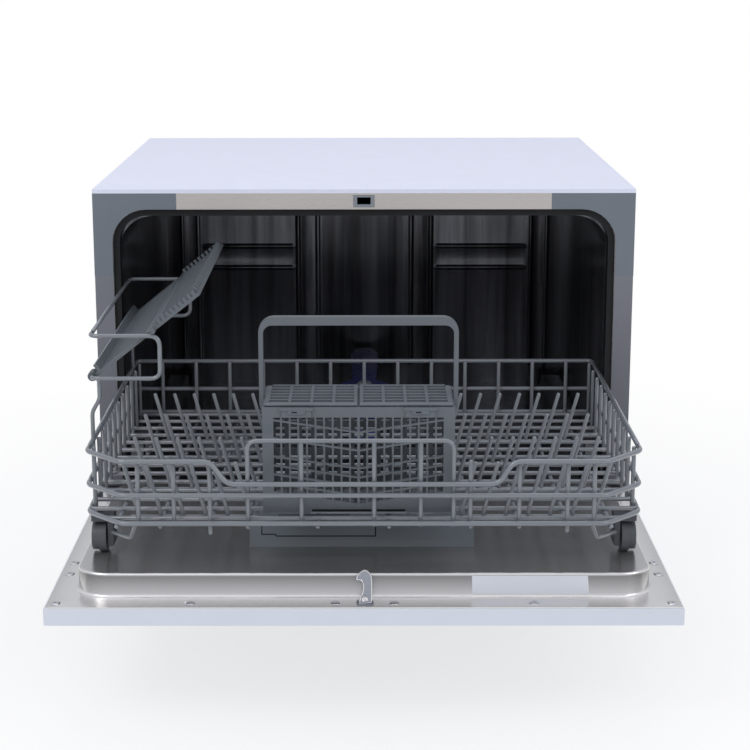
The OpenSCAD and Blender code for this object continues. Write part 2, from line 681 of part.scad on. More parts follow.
module rack_side(s) {
  for (z = [ring_low, ring_mid, ring_top])
    wire([s * ring_x, -rack_corner, z], [s * ring_x, rack_back, z]);
  for (i = [0 : side_rods - 1])
    wire([s * (ring_x - 4), side_y(i), ring_low - 4], [s * (ring_x - 4), side_y(i), ring_top],
         rod_d);
}
module rack_left_wall() color("#6f757d") at() rack_side(-1);
module rack_right_wall() color("#6f757d") at() rack_side(1);
module tine_row(s, x, y, n) {
  wire([s * (x - 6), y, cross_z], [s * (x + (n - 1) * tine_pitch + 6), y, cross_z], rod_d);
  for (i = [0 : n - 1])
    wire([s * (x + i * tine_pitch), y, cross_z - 1],
         [s * (x + i * tine_pitch + tine_lean), y, cross_z + tine_h], rod_d - 0.3);
}
module tines_left() color("#6f757d") at() for (y = tine_y) tine_row(-1, tine_left, y, 6);
module tines_right() color("#6f757d") at() for (y = tine_y) tine_row(1, tine_right, y, 7);

// Wheels and their mounts
module wheel_mount(s, y) {
  x = s < 0 ? [-wheel_x + 1.5, 5 - wheel_x + 1.5] : [wheel_x - 6.5, wheel_x - 1.5];
  box(x, [y - 11, y + 11], [axle_z - 7, ring_low - 9]);
  box(s < 0 ? [-rack_hw + 1, -wheel_x + 6.5] : [wheel_x - 6.5, rack_hw - 1],
      [y - 11, y + 11], [axle_z + wheel_d / 2 + 1.5, ring_low - 9]);
  box(s < 0 ? [1 - rack_hw, 4.2 - rack_hw] : [rack_hw - 4.2, rack_hw - 1],
      [y - 11, y + 11], [ring_low - 9 - eps, ring_low - wire_d / 2]);
  pin_x(s < 0 ? [-wheel_x - wheel_w - 0.6, 2 - wheel_x] : [wheel_x - 2, wheel_x + wheel_w + 0.6],
        y, axle_z, axle_d);
}
module wheel_mounts() color("#3c4046") at()
  for (s = [-1, 1], y = [-axle_front, axle_back]) wheel_mount(s, y);
module wheel(s, y) difference() {
  union() {
    pin_x(s < 0 ? [-wheel_x - 7, -wheel_x] : [wheel_x, wheel_x + 7], y, axle_z, wheel_d, 32);
    pin_x(s < 0 ? [-wheel_x - wheel_w, -wheel_x - 7 + eps] : [wheel_x + 7 - eps, wheel_x + wheel_w],
          y, axle_z, wheel_d - 3, 32);
  }
  pin_x([-body_w, body_w], y, axle_z, axle_d + 2 * run);
  for (a = [0 : 60 : 300])
    translate([s * (wheel_x + wheel_w + 1), y, axle_z]) rotate([a, 0, 0])
      translate([0, 8.6, 0]) rotate([0, 90, 0]) cylinder(d = 4.6, h = 8, center = true, $fn = 12);
}
module wheel_front_left() color("#4a4e54") at() wheel(-1, -axle_front);
module wheel_front_right() color("#4a4e54") at() wheel(1, -axle_front);
module wheel_rear_left() color("#4a4e54") at() wheel(-1, axle_back);
module wheel_rear_right() color("#4a4e54") at() wheel(1, axle_back);

// Cup shelf on its wire bracket
// Three points of a bend of radius r at p, from direction u to direction v
function bend(p, u, v, r = 8) = [p - r * u, p - 0.293 * r * (u - v), p + r * v];
module shelf_frame(y, s) wires(concat([[-ring_x, y + s * 14, loop_top]],
  bend([-ring_x, y, loop_top], [0, -s, 0], [1, 0, 0]),
  bend([loop_x, y, loop_top], [1, 0, 0], [0, 0, -1]),
  bend([loop_x, y, shelf_z], [0, 0, -1], [-1, 0, 0]),
  bend([-ring_x, y, shelf_z], [-1, 0, 0], [0, s, 0]),
  [[-ring_x, y + s * 14, shelf_z]]), rod_d);
module shelf_post(y) wires([[7 - ring_x, y, shelf_z + 1], [7 - ring_x, y, shelf_z - 19],
  [-ring_x, y, shelf_z - 31], [-ring_x, y, ring_low - 1]], rod_d - 0.2);
module shelf_bracket() color("#6f757d") at() {
  shelf_frame(loop_front, 1);
  shelf_frame(loop_back, -1);
  for (z = [shelf_z, loop_top])
    wire([-ring_x, loop_front + 13, z], [-ring_x, loop_back - 13, z], rod_d);
  for (y = [loop_front + 0.2, loop_back - 0.2]) shelf_post(y);
}
module cup_shelf() color("#596067") at() translate([-ring_x, 0, shelf_z])
  rotate([0, -shelf_tilt, 0]) difference() {
    union() {
      translate([0, 0, shelf_low]) {
        difference() {
          box([0, shelf_w], [shelf_a, shelf_b], [0, shelf_t]);
          for (i = [0 : 20], k = [0, 1])
            box([14 + k * (shelf_w - 18) / 2, 10 + (k + 1) * (shelf_w - 18) / 2],
                [shelf_a + 6 + i * (shelf_l - 12) / 21, shelf_a + 14 + i * (shelf_l - 12) / 21],
                [-1, shelf_t + 1]);
        }
        for (i = [0 : 20])
          box([shelf_w - 3, shelf_w], [shelf_a + 4 + i * (shelf_l - 8) / 21,
            shelf_a + 10 + i * (shelf_l - 8) / 21], [shelf_t - eps, shelf_t + 5]);
        for (y = [shelf_a, shelf_b - 3], i = [0 : 9])
          box([shelf_w - 50 + i * 5, shelf_w - 47 + i * 5], [y, y + 3],
              [shelf_t - eps, shelf_t + 4]);
        box([8, 11], [shelf_a, shelf_b], [shelf_t - eps, shelf_t + 7]);
        pin_y(peg_u, [shelf_a - 7, shelf_b + 7], shelf_t / 2, shelf_t + 2, 16);
      }
      for (y = [shelf_a + 4, (shelf_a + shelf_b) / 2 - 6, shelf_b - 16])
        pin_y(0, [y, y + 12], 0, rod_d + 5, 24);
    }
    pin_y(0, [shelf_a - 9, shelf_b + 9], 0, rod_d + 0.5, 24);
    for (y = [[shelf_a - 1, shelf_a + 4], [shelf_a + 16, (shelf_a + shelf_b) / 2 - 6],
              [(shelf_a + shelf_b) / 2 + 6, shelf_b - 16], [shelf_b - 4, shelf_b + 1]])
      box([-9, 5.5], y, [-9, 9]);
  }

// Cutlery basket
function vee(x) = vee_h * abs(x) / (basket_w / 2 - border);
function row(k) = border + 1.7 + row_pitch * (min(k, 4) + 2 * max(0, k - 4));
module lattice() difference() {
  area([-basket_w / 2, basket_w / 2], [0, basket_h]);
  n = floor((basket_w - 2 * border + bar_w) / bar_pitch);
  for (i = [0 : n - 1], k = [0 : 6]) {
    a = (i - n / 2) * bar_pitch + bar_w / 2;
    b = a + bar_pitch - bar_w;
    top = [for (x = [a, b]) k < 6 ? row(k + 1) + vee(x) - bar_w : lattice_top];
    if (min(top) - row(k) - max(vee(a), vee(b)) > 1)
      polygon([[a, row(k) + vee(a)], [b, row(k) + vee(b)], [b, top[1]], [a, top[0]]]);
  }
}
module basket_body() color("#5f646a") at() translate([basket_x, -basket_front, basket_z]) {
  along_y([0, basket_t]) lattice();
  along_y([basket_d - basket_t, basket_d]) difference() {
    area([-basket_w / 2, basket_w / 2], [0, basket_h]);
    for (i = [0 : 12], k = [0 : 2])
      area([-basket_w / 2 + 8 + i * 12, -basket_w / 2 + 16 + i * 12], [12 + k * 26, 32 + k * 26]);
  }
  for (s = [-1, 1]) difference() {
    box([s < 0 ? -basket_w / 2 : basket_w / 2 - basket_t,
         s < 0 ? basket_t - basket_w / 2 : basket_w / 2], [0, basket_d], [0, basket_h]);
    for (i = [0 : 4], k = [0 : 1])
      box([s * basket_w / 2 - 9, s * basket_w / 2 + 9], [8 + i * 12, 16 + i * 12],
          [14 + k * 28, 36 + k * 28]);
    translate([0, basket_d / 2, handle_z - basket_z]) rotate([0, 90, 0])
      cylinder(d = 5 + 2 * run, h = basket_w + 9, center = true);
  }
  difference() {
    box([-basket_w / 2, basket_w / 2], [0, basket_d], [0, basket_t]);
    for (i = [0 : 9], k = [0 : 1])
      box([-76 + i * 15.5, -66 + i * 15.5], [10 + k * 29, 34 + k * 29], [-1, basket_t + 1]);
  }
  box([-basket_t / 2, basket_t / 2], [0, basket_d], [0, basket_h]);
  for (s = [-1, 1]) box([s * 54 - 13, s * 54 + 13], [-1.8, eps], [basket_h - 9, basket_h]);
}
// The round front edge is the hinge pin, and turns in the basket's rim
module basket_lid(s) translate([basket_x, -basket_front, basket_top + fit]) {
  difference() {
    along_z([0, lid_t]) polygon([for (p = [[1, lid_t / 2 + 0.8], [lid_half + 2, lid_t / 2 + 0.8],
      [lid_half + 2, basket_d - 15], [lid_half - 7, basket_d - 6], [1, basket_d - 6]])
      [s * p[0], p[1]]]);
    for (i = [0 : 2], k = [0 : 5])
      box(s < 0 ? [-26.5 - i * 25.5, -5 - i * 25.5] : [5 + i * 25.5, 26.5 + i * 25.5],
          [6 + k * 10, 13 + k * 10], [-1, lid_t + 1]);
  }
  pin_x(s < 0 ? [-lid_half - 2, -1] : [1, lid_half + 2], lid_t / 2 + 0.8, lid_t / 2, lid_t, 24);
}
module basket_lid_left() color("#646a70") at() basket_lid(-1);
module basket_lid_right() color("#646a70") at() basket_lid(1);
module basket_handle() color("#6a7076") at() translate([basket_x, basket_d / 2 - basket_front, 0]) {
  along_y([-4, 4]) difference() {
    soft_area([-handle_x - 4, handle_x + 4], [handle_z - 6, handle_top], 14);
    soft_area([-handle_x, handle_x], [handle_z - 30, handle_top - 7.5], 8);
    area([-handle_x, handle_x], [0, handle_z]);
  }
  for (s = [-1, 1]) pin_x(s < 0 ? [-handle_x - 1, 2 - basket_w / 2]
    : [basket_w / 2 - 2, handle_x + 1], 0, handle_z, 5, 16);
}

top_panel();
side_panel_left();
side_panel_right();
back_panel();
base_pan();
foot_front_left();
foot_front_right();
foot_rear_left();
foot_rear_right();
kick_plate();
front_frame();
corner_cover_left();
corner_cover_right();
latch_strip();
latch_bezel();
door_gasket();
tub_wrap();
tub_floor_pan();
tub_rear_wall();
sump_bowl();
filter_cup();
spray_hub();
spray_arm();
softener_tank();
salt_cap();
wash_pump();
drain_pump();
inlet_valve();
drain_spigot();
cord_gland();
door_shell();
control_panel();
door_inner_panel();
latch_hook();
hinge_arms();
dispenser_body();
detergent_lid();
rinse_cap();
button_power();
button_program();
button_start();
display_window();
rack_floor();
rack_front_wall();
rack_rear_wall();
rack_left_wall();
rack_right_wall();
tines_left();
tines_right();
wheel_mounts();
wheel_front_left();
wheel_front_right();
wheel_rear_left();
wheel_rear_right();
shelf_bracket();
cup_shelf();
basket_body();
basket_lid_left();
basket_lid_right();
basket_handle();
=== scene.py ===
import json, math
import bpy, bmesh
from mathutils import Vector, Matrix


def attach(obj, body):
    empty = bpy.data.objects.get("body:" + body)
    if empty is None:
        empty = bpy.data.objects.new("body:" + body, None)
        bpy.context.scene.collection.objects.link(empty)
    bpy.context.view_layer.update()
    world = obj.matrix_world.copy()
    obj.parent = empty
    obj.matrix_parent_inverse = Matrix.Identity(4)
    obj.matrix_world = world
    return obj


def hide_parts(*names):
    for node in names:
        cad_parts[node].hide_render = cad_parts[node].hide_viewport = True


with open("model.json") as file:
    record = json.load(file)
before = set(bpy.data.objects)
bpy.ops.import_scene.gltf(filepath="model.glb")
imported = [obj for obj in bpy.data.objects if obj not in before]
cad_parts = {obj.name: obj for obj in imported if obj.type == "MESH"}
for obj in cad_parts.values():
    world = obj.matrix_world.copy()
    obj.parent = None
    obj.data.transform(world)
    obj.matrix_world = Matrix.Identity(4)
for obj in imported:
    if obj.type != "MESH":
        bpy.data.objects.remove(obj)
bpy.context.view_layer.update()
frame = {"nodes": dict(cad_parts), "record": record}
nodes = frame["nodes"]
scene = bpy.context.scene

# Sizes and places in millimetres, from the cabinet's front plane
FRONT_Y = -79.0        # that plane in the frame
HALF_W = 275.0         # half of the cabinet and the door
DOOR_REACH = 340.0
FLANGE_Z, PAN_Z = 124.0, 142.0
PAN_HALF, PAN_FRONT, PAN_BACK, PAN_R = 252.6, -313.5, -39.0, 29.0
PAN_SLOPE = 9.0        # how far the front wall leans back
TUB_HALF, TUB_BACK, TUB_FLOOR, TUB_TOP = 251.0, 431.5, 129.0, 408.5
OPEN_HALF, SILL_Z, OPEN_TOP, OPEN_R = 256.0, 112.0, 417.5, 35.0
RING_X, RACK_FRONT, RACK_BACK, RACK_CORNER = 243.7, -305.0, 65.0, -272.0
RING_LOW, RING_MID, RING_TOP, RING_DIP = 188.0, 213.5, 244.0, 223.5
RING_CUT = 33.0        # how far in from the side the ring's slanted corner ends
DIP_X = (-133, -118, 117, 129)
FRONT_IN, GUARD_Z = -301.0, 261.5
FLOOR_X, FLOOR_EDGE = 224.6, -285.0     # half width of the floor in front of that line
CROSS_Z, WIRE_R, ROD_R = 188.4, 2.3, 2.0
LONG_X = (-215, -177, -133.6, -101, -40, 22, 92.6, 135, 177, 215)
CROSS_Y = [-291 + 342 / 13 * i for i in range(14)]
SIDE_Y = [-260 + i * 31.3 for i in range(11)]
TINE_Y = [CROSS_Y[k] + 3.8 for k in (0, 3, 6, 9)]
TINE_PITCH, TINE_H, TINE_LEAN = 19.6, 50.0, 12.6
SHELF_Z, LOOP_TOP, LOOP_X, LOOP_FRONT, LOOP_BACK = 300.5, 339.5, -181.6, -236.0, 34.0
DISP_Y = -236.0
PAN_SPLIT = -178.0     # middle of the raised field, between its front and back corners
SHEET = 1.2            # thickness of the pressed steel
GUARD_X, GUARD_BARS = (-100.6, 78), (-54, 9, 49.5)
FRONT_RODS = ((-196, 1), (-165, 1), (-133.6, 10), (92.6, 1), (135, 1), (177, 8), (200, 1))
WHEEL_WIRE = ((198.7, RACK_FRONT + 3, 186), (205.6, RACK_FRONT + 20, 167.7),
              (FLOOR_X, -262, 165))
TINE_ROWS = ((-1, "left", 99.5, 6), (1, "right", 85.0, 7))
BASKET_X, BASKET_Y, BASKET_LOW, LID_Z = -4.5, -283.0, 190.6, 286.9
LID_END, LID_BACK, LID_T, CLIP_X = 82, 67, 3.0, 54
PLATE_X, PLATE_Z = (94.5, 196), (126.6, 139.8)
SEAM_LINE = ((-93.4, 162.5), (-93.4, 152.6), (-81.0, 152.6), (-80.0, 151.1), (10.6, 151.1),
             (10.6, 162.5))


def L(x, y, z):
    """A point given in millimetres from the cabinet's front plane, in metres."""
    return Vector((x, y + FRONT_Y, z)) / 1000


# Camera, at the photograph's place and lens
F, CX, CY, SIZE, SENSOR = 1722.25, 363.70, 327.59, 750, 36.0
cam_data = bpy.data.cameras.new("camera")
cam = bpy.data.objects.new("camera", cam_data)
scene.collection.objects.link(cam)
cam_data.sensor_width = SENSOR
cam_data.lens = F / SIZE * SENSOR
cam_data.shift_x = (SIZE / 2 - CX) / SIZE
cam_data.shift_y = (CY - SIZE / 2) / SIZE
cam_data.clip_start, cam_data.clip_end = 0.05, 60
pitch, yaw, roll = (math.radians(a) for a in (12.437, -0.096, -0.074))
ahead = Vector((math.sin(yaw) * math.cos(pitch), math.cos(yaw) * math.cos(pitch),
                -math.sin(pitch)))
side = Vector((math.cos(yaw), -math.sin(yaw), 0))
above = side.cross(ahead)
right = side * math.cos(roll) + above * math.sin(roll)
top = above * math.cos(roll) - side * math.sin(roll)
place = Matrix((right, top, -ahead)).transposed().to_4x4()
place.translation = L(2.53, -1728.71, 676.20)
cam.matrix_world = place
scene.camera = cam
scene.view_settings.view_transform = "Standard"


# Materials
def new_mat(name):
    m = bpy.data.materials.new(name)
    m.use_nodes = True
    return m, m.node_tree, m.node_tree.nodes["Principled BSDF"]


def coords(nt, scale=(1, 1, 1)):
    tc = nt.nodes.new("ShaderNodeTexCoord")
    mp = nt.nodes.new("ShaderNodeMapping")
    mp.inputs["Scale"].default_value = scale
    nt.links.new(tc.outputs["Object"], mp.inputs["Vector"])
    return mp.outputs["Vector"]


def noise(nt, vec, scale, detail=3.0, rough=0.5):
    n = nt.nodes.new("ShaderNodeTexNoise")
    n.inputs["Scale"].default_value = scale
    n.inputs["Detail"].default_value = detail
    n.inputs["Roughness"].default_value = rough
    nt.links.new(vec, n.inputs["Vector"])
    return n.outputs["Fac"]


def ramp(nt, fac, a, b, lo=0.3, hi=0.7):
    r = nt.nodes.new("ShaderNodeValToRGB")
    r.color_ramp.elements[0].position = lo
    r.color_ramp.elements[1].position = hi
    r.color_ramp.elements[0].color = (*a, 1)
    r.color_ramp.elements[1].color = (*b, 1)
    nt.links.new(fac, r.inputs["Fac"])
    return r.outputs["Color"]


def span(nt, fac, lo, hi, a=0.3, b=0.7):
    r = nt.nodes.new("ShaderNodeMapRange")
    for key, v in (("From Min", a), ("From Max", b), ("To Min", lo), ("To Max", hi)):
        r.inputs[key].default_value = v
    nt.links.new(fac, r.inputs["Value"])
    return r.outputs["Result"]


def painted_reflection_by_height(nt, low, high, k_low, k_high):
    """A grey that runs from k_low at one height to k_high at another, in metres, used as painted
    reflection in a steel's colour.
    """
    sep = nt.nodes.new("ShaderNodeSeparateXYZ")
    nt.links.new(coords(nt), sep.inputs["Vector"])
    share = span(nt, sep.outputs["Z"], 0, 1, low, high)
    return ramp(nt, share, (k_low,) * 3, (k_high,) * 3, 0, 1)


def multiply(nt, a, b):
    mix = nt.nodes.new("ShaderNodeMix")
    mix.data_type = "RGBA"
    mix.blend_type = "MULTIPLY"
    mix.inputs["Factor"].default_value = 1.0
    nt.links.new(a, mix.inputs["A"])
    nt.links.new(b, mix.inputs["B"])
    return mix.outputs["Result"]


def bump(nt, b, height, strength, dist):
    n = nt.nodes.new("ShaderNodeBump")
    n.inputs["Strength"].default_value = strength
    n.inputs["Distance"].default_value = dist
    nt.links.new(height, n.inputs["Height"])
    nt.links.new(n.outputs["Normal"], b.inputs["Normal"])


def srgb(*c):
    return tuple(((v / 255 + 0.055) / 1.055) ** 2.4 if v > 10 else v / 255 / 12.92 for v in c)


def shade(col, k):
    return tuple(min(1, c * k) for c in col)


def plastic(name, col, rough=0.45, var=0.06, grain=900.0, depth=0.00004, spec=0.5, coat=0.0):
    """Moulded or painted surface: soft colour drift, fine grain, uneven gloss."""
    m, nt, b = new_mat(name)
    vec = coords(nt)
    nt.links.new(ramp(nt, noise(nt, vec, 14, 4), shade(col, 1 - var), shade(col, 1 + var)),
                 b.inputs["Base Color"])
    nt.links.new(span(nt, noise(nt, vec, 60, 3), rough - 0.05, rough + 0.06), b.inputs["Roughness"])
    b.inputs["Specular IOR Level"].default_value = spec
    b.inputs["Coat Weight"].default_value = coat
    bump(nt, b, noise(nt, vec, grain, 2), 0.35, depth)
    return m


def steel(name, col, axis=0, rough=0.3, aniso=0.5, grain=700.0, var=0.05, depth=0.000012,
          cloud=0.94, painted_reflection_ramp=None):
    """Brushed sheet: fine lines along one axis, slow clouds of tone across it, and an optional
    height ramp of painted reflection.
    """
    m, nt, b = new_mat(name)
    s = [grain] * 3
    s[axis] = grain / 90
    lines = noise(nt, coords(nt, tuple(s)), 1.0, 4, 0.6)
    slow = noise(nt, coords(nt), 5, 3)
    tone = multiply(nt, ramp(nt, lines, shade(col, 1 - var), shade(col, 1 + var)),
                    ramp(nt, slow, (cloud,) * 3, (1, 1, 1)))
    # painted reflection: the colour is darkened and lightened by height
    if painted_reflection_ramp:
        tone = multiply(nt, tone, painted_reflection_by_height(nt, *painted_reflection_ramp))
    nt.links.new(tone, b.inputs["Base Color"])
    b.inputs["Metallic"].default_value = 1.0
    b.inputs["Anisotropic"].default_value = aniso
    nt.links.new(span(nt, lines, rough - 0.03, rough + 0.05), b.inputs["Roughness"])
    bump(nt, b, lines, 0.2, depth)
    return m


def pan_steel_painted_reflection(name, col):
    """Smooth sheet whose tone runs with height as painted reflection: darker above, with painted
    highlights at the field's two bends.
    """
    m, nt, b = new_mat(name)
    lines = noise(nt, coords(nt, (8, 500, 500)), 1.0, 3, 0.5)
    sep = nt.nodes.new("ShaderNodeSeparateXYZ")
    nt.links.new(coords(nt), sep.inputs["Vector"])
    r = nt.nodes.new("ShaderNodeValToRGB")
    # painted reflection and highlights: tone by height across the field's wall and its two bends
    reflection_stops = ((0.0, 0.92), (0.10, 1.0), (0.17, 0.80), (0.85, 0.36), (0.91, 0.95), (0.955, 0.95),
             (1.0, 0.60))
    for pos, _ in reflection_stops[2:]:
        r.color_ramp.elements.new(pos)
    for e, (pos, k) in zip(r.color_ramp.elements, reflection_stops):
        e.position, e.color = pos, (k, k, k, 1)
    nt.links.new(span(nt, sep.outputs["Z"], 0, 1, 0.124, 0.1421), r.inputs["Fac"])
    brushed = ramp(nt, lines, shade(col, 0.985), shade(col, 1.0))
    nt.links.new(multiply(nt, brushed, r.outputs["Color"]), b.inputs["Base Color"])
    b.inputs["Metallic"].default_value = 0.86
    b.inputs["Anisotropic"].default_value = 0.3
    nt.links.new(span(nt, lines, 0.20, 0.25), b.inputs["Roughness"])
    bump(nt, b, lines, 0.15, 0.000003)
    return m


def tub_steel(name, col):
    """Bright pressed steel, coloured dark as painted shade inside the tub: long soft streaks over a
    dark mirror.
    """
    m, nt, b = new_mat(name)
    streak = noise(nt, coords(nt, (46.0, 46.0, 1.6)), 1.0, 5, 0.62)
    slow = noise(nt, coords(nt, (7, 7, 3)), 1.0, 3)
    nt.links.new(multiply(nt, ramp(nt, streak, shade(col, 0.45), shade(col, 1.7), 0.38, 0.66),
                          ramp(nt, slow, (0.5,) * 3, (1, 1, 1))), b.inputs["Base Color"])
    b.inputs["Metallic"].default_value = 0.82
    nt.links.new(span(nt, streak, 0.14, 0.26), b.inputs["Roughness"])
    bump(nt, b, streak, 0.25, 0.00006)
    return m


MAT = {
    "white_sheet": plastic("enamel_white", srgb(220, 223, 239), 0.36, 0.003, 420, 0.00002, 0.45),
    "inner_sheet": steel("galvanised", srgb(165, 168, 174), 0, 0.42, 0.2, 120, 0.10),
    # the front frame's steel has painted reflection in its colour, darker towards the bottom
    "frame_steel": steel("frame_steel", srgb(136, 138, 148), 2, 0.36, 0.3,
                         painted_reflection_ramp=(0.16, 0.40, 0.55, 0.96)),
    "strip_steel": steel("strip_steel", srgb(190, 186, 185), 0, 0.28, 0.5, cloud=0.98),
    # the tub's steel is coloured dark as painted shade inside the tub
    "tub_steel": tub_steel("tub_steel", srgb(112, 113, 118)),
    "cover_grey": plastic("cover_grey", srgb(106, 114, 123), 0.44, 0.015),
    "white_plastic": plastic("door_white", srgb(207, 212, 221), 0.34, 0.008, 500, 0.00002),
    "black_rubber": plastic("seal_black", srgb(20, 21, 23), 0.55, 0.15, 700, 0.00006, 0.3),
    "dark_plastic": plastic("plastic_dark", srgb(62, 66, 72), 0.45, 0.08),
    "pale_plastic": plastic("plastic_pale", srgb(214, 215, 216), 0.5, 0.04),
    "disp_grey": plastic("dispenser_grey", srgb(108, 115, 121), 0.38, 0.04),
    "lid_grey": plastic("lid_grey", srgb(104, 111, 117), 0.34, 0.04),
    "cap_grey": plastic("cap_grey", srgb(128, 134, 141), 0.4, 0.05),
    "button_white": plastic("key_white", srgb(226, 228, 232), 0.3, 0.02),
    "display_black": plastic("display_black", srgb(16, 17, 20), 0.12, 0.2, 200, 0.000005, 0.6, 0.4),
    "hook_steel": steel("hook_steel", srgb(150, 154, 164), 2, 0.24, 0.2, 300),
    "hinge_steel": steel("hinge_steel", srgb(140, 142, 147), 1, 0.36, 0.3),
    "coated_wire": plastic("coated_wire", srgb(112, 117, 123), 0.20, 0.05, 500, 0.00001, 0.6, 0.6),
    "basket_grey": plastic("basket_grey", srgb(92, 98, 104), 0.40, 0.04),
    "shelf_grey": plastic("shelf_grey", srgb(90, 96, 102), 0.40, 0.04),
    "wheel_grey": plastic("wheel_grey", srgb(78, 81, 86), 0.42, 0.06),
    "arm_blue": plastic("arm_blue", srgb(34, 40, 118), 0.30, 0.08),
}
# the door panel's steel, with painted reflection and painted highlights in its colour
PAN_STEEL_PAINTED_REFLECTION = pan_steel_painted_reflection("pan_steel_painted_reflection", srgb(236, 234, 233))
BRIGHT = steel("screw_steel", srgb(214, 214, 218), 0, 0.16, 0.0, 400, 0.05)
PLATE = plastic("bare_plate", srgb(196, 199, 206), 0.32, 0.01, 300, 0.00001)
# a dark seam colour, also used as painted shade for the basket's slot and the clips' gaps
SEAM_AND_SHADE = plastic("dark_seam_and_painted_shade", srgb(18, 20, 22), 0.6, 0.1, 300, 0.00002, 0.2)

SLOT = {s["node"]: s["material_slot"] for s in frame["record"]["subparts"]}
EDGE = {"top_panel": 1.0, "door_shell": 1.6, "control_panel": 1.6, "dispenser_body": 1.4,
        "basket_body": 0.3, "basket_handle": 1.6, "cup_shelf": 0.5, "corner_cover_left": 0.4,
        "corner_cover_right": 0.4, "front_frame": 0.5, "rinse_cap": 0.6, "detergent_lid": 0.5,
        "spray_arm": 2.0, "door_gasket": 1.5, "wheel_mounts": 0.5, "wheel_front_left": 0.6,
        "wheel_front_right": 0.6, "wheel_rear_left": 0.6, "wheel_rear_right": 0.6}
for name, o in nodes.items():
    o.data.materials.clear()
    o.data.materials.append(MAT[SLOT[name]])
    if name in EDGE:
        m = o.modifiers.new("edge", "BEVEL")
        m.width = EDGE[name] / 1000
        m.segments = 2
        m.limit_method = "ANGLE"
        m.angle_limit = math.radians(32)
        m.use_clamp_overlap = True


# Shapes
def finish_mesh(name, bm, mat, body, replaces=(), smooth=40):
    """Turns a bmesh into a piece that rides on a body."""
    bmesh.ops.recalc_face_normals(bm, faces=bm.faces)
    for f in bm.faces:
        f.smooth = True
    for e in bm.edges:
        if len(e.link_faces) == 2 and e.calc_face_angle(0) > math.radians(smooth):
            e.smooth = False
    me = bpy.data.meshes.new(name)
    bm.to_mesh(me)
    bm.free()
    o = bpy.data.objects.new(name, me)
    scene.collection.objects.link(o)
    me.materials.append(mat)
    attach(o, body)
    if replaces:
        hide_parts(*replaces)
    return o


def rounded(pts, r, steps=5):
    """A path whose inner corners are bent to radius r."""
    pts = [Vector(p) for p in pts]
    out = [pts[0]]
    for a, p, b in zip(pts, pts[1:], pts[2:]):
        u, v = (p - a), (b - p)
        turn = u.angle(v)
        reach = min(r * math.tan(turn / 2), u.length * 0.48, v.length * 0.48)
        s, e = p - u.normalized() * reach, p + v.normalized() * reach
        for i in range(steps + 1):
            t = i / steps
            out.append(s.lerp(p, t).lerp(p.lerp(e, t), t))
    out.append(pts[-1])
    return out


def tube(bm, pts, r, bend=9.0, sides=12):
    """A round wire of radius r along a path in millimetres, with domed ends."""
    path = rounded(pts, bend) if len(pts) > 2 else [Vector(p) for p in pts]
    rings = []
    tangents = [(b - a).normalized() for a, b in zip(path, path[1:])]
    n = tangents[0].orthogonal().normalized()
    stations = []
    for i, p in enumerate(path):
        t = tangents[min(i, len(tangents) - 1)]
        if 0 < i < len(path) - 1:
            t = (tangents[i - 1] + tangents[i]).normalized()
        stations.append((p, t, r))
    p, t, _ = stations[0]
    stations = [(p - t * r * 0.7, t, r * 0.35), (p - t * r * 0.45, t, r * 0.8)] + stations
    p, t, _ = stations[-1]
    stations += [(p + t * r * 0.45, t, r * 0.8), (p + t * r * 0.7, t, r * 0.35)]
    for p, t, rad in stations:
        n = (n - t * n.dot(t)).normalized()
        b = t.cross(n)
        rings.append([bm.verts.new(L(*(p + (n * math.cos(a) + b * math.sin(a)) * rad)))
                      for a in (2 * math.pi * k / sides for k in range(sides))])
    for ra, rb in zip(rings, rings[1:]):
        for k in range(sides):
            bm.faces.new((ra[k], ra[(k + 1) % sides], rb[(k + 1) % sides], rb[k]))
    bm.faces.new(rings[0][::-1])
    bm.faces.new(rings[-1])


def wires(name, node, paths):
    """One piece of coated wires of the rack, which stands for a CAD node."""
    bm = bmesh.new()
    for p in paths:
        tube(bm, *p)
    finish_mesh(name, bm, MAT["coated_wire"], "rack", (node,))


def slab(name, x, y, z, mat, body="cabinet", edge=0.3):
    """A thin plate with softened edges, between two corners."""
    bm = bmesh.new()
    bmesh.ops.create_cube(bm, size=1)
    a, b = L(x[0], y[0], z[0]), L(x[1], y[1], z[1])
    for v in bm.verts:
        v.co = Vector([(a[i] + b[i]) / 2 + v.co[i] * (b[i] - a[i]) for i in range(3)])
    bmesh.ops.bevel(bm, geom=bm.edges[:], offset=edge / 1000, segments=2, affect="EDGES",
                    profile=0.6)
    finish_mesh(name, bm, mat, body)


# Rack: every wire round, bent at its corners, with domed ends
def ring(z, mid=None):
    """The bent front part of a ring at height z, with mid as its middle points."""
    side = [(-RING_X, RACK_CORNER + 14, z), (-RING_X, RACK_CORNER, z),
            (RING_CUT - RING_X, RACK_FRONT, z)]
    return side + (mid or []) + [(-x, y, q) for x, y, q in reversed(side)]


def rod(a, b, r=ROD_R):
    """What tube() takes for a straight wire."""
    return [a, b], r


RINGS = (RING_LOW, RING_MID, RING_TOP)
dip = [(x, RACK_FRONT, z) for x, z in zip(DIP_X, (RING_TOP, RING_DIP, RING_DIP, RING_TOP))]
front = [(ring(z, dip if z == RING_TOP else None), WIRE_R, 14) for z in RINGS]
front.append(([(GUARD_X[0], FRONT_IN, RING_LOW - 5), (GUARD_X[0], FRONT_IN, GUARD_Z),
               (GUARD_X[1], FRONT_IN, GUARD_Z), (GUARD_X[1], FRONT_IN, RING_LOW - 3)], ROD_R, 9))
front += [rod((x, FRONT_IN + 0.4, RING_LOW - 3), (x, FRONT_IN + 0.4, GUARD_Z)) for x in GUARD_BARS]
front += [rod((x, FRONT_IN, RING_LOW - low), (x, FRONT_IN, RING_TOP - 1)) for x, low in FRONT_RODS]
wires("rack_front_wires", "rack_front_wall", front)

